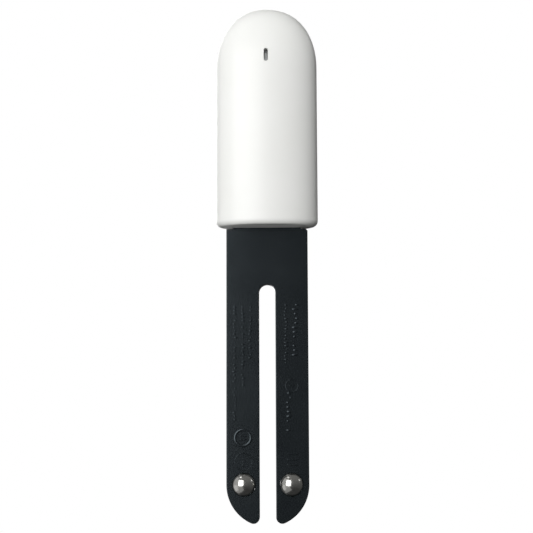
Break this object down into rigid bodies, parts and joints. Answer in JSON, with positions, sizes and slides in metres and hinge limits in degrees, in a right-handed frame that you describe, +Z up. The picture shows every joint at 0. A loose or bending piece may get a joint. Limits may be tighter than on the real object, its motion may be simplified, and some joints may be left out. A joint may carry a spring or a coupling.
{
  "type": "soil moisture sensor",
  "caption": "Wireless plant-pot soil sensor: a slim white domed head with a light slot, on a dark forked blade with domed steel electrodes near its tips.",
  "frame": {"origin": "centre of the head's underside on the blade's axis, which is the soil line when the sensor is in use", "axes": "+Z up along the sensor, from the fork's tips to the head's dome; -Y is the front with the light slot, +Y the back with the battery cover; +X is to the right when the front is seen"},
  "size_m": [0.0238, 0.0126, 0.12],
  "materials": {
    "shell_white": "satin white moulded plastic",
    "blade_charcoal": "fine-grained dark charcoal plastic",
    "electrode_steel": "polished stainless steel",
    "fastener_steel": "bright zinc-plated steel",
    "cell_steel": "satin nickel-plated steel",
    "seal_rubber": "matt black silicone rubber",
    "clear_diffuser": "milky clear light guide",
    "board_green": "solder-masked circuit board",
    "chip_black": "epoxy chip package",
    "ceramic_white": "ceramic component body",
    "chassis_grey": "grey moulded inner frame",
    "contact_plating": "gold-flashed spring metal"
  },
  "bodies": {
    "sensor": {"front_shell": "shell_white", "cover_gasket": "seal_rubber", "light_guide": "clear_diffuser", "chassis": "chassis_grey", "main_board": "board_green", "probe_board": "board_green", "cell_can": "cell_steel", "cell_cap": "cell_steel", "cell_seal": "seal_rubber", "positive_contact": "contact_plating", "negative_contact": "contact_plating", "neck_seal": "seal_rubber", "blade_front": "blade_charcoal", "blade_back": "blade_charcoal", "light_sensor": "chip_black", "status_led": "ceramic_white", "radio_chip": "chip_black", "memory_chip": "chip_black", "timing_crystal": "fastener_steel", "chip_antenna": "ceramic_white", "temperature_sensor": "chip_black", "link_pin_1": "contact_plating", "link_pin_2": "contact_plating", "link_pin_3": "contact_plating", "chassis_screw_left": "fastener_steel", "chassis_screw_right": "fastener_steel", "electrode_left": "electrode_steel", "electrode_right": "electrode_steel", "electrode_back_left": "electrode_steel", "electrode_back_right": "electrode_steel", "electrode_seal_left": "seal_rubber", "electrode_seal_right": "seal_rubber"},
    "cover": {"battery_cover": "shell_white"}
  },
  "joints": [
    {"name": "cover_pull", "type": "slide", "parent": "sensor", "child": "cover", "axis": [0, 1, 0], "range_m": [0, 0.03]}
  ]
}
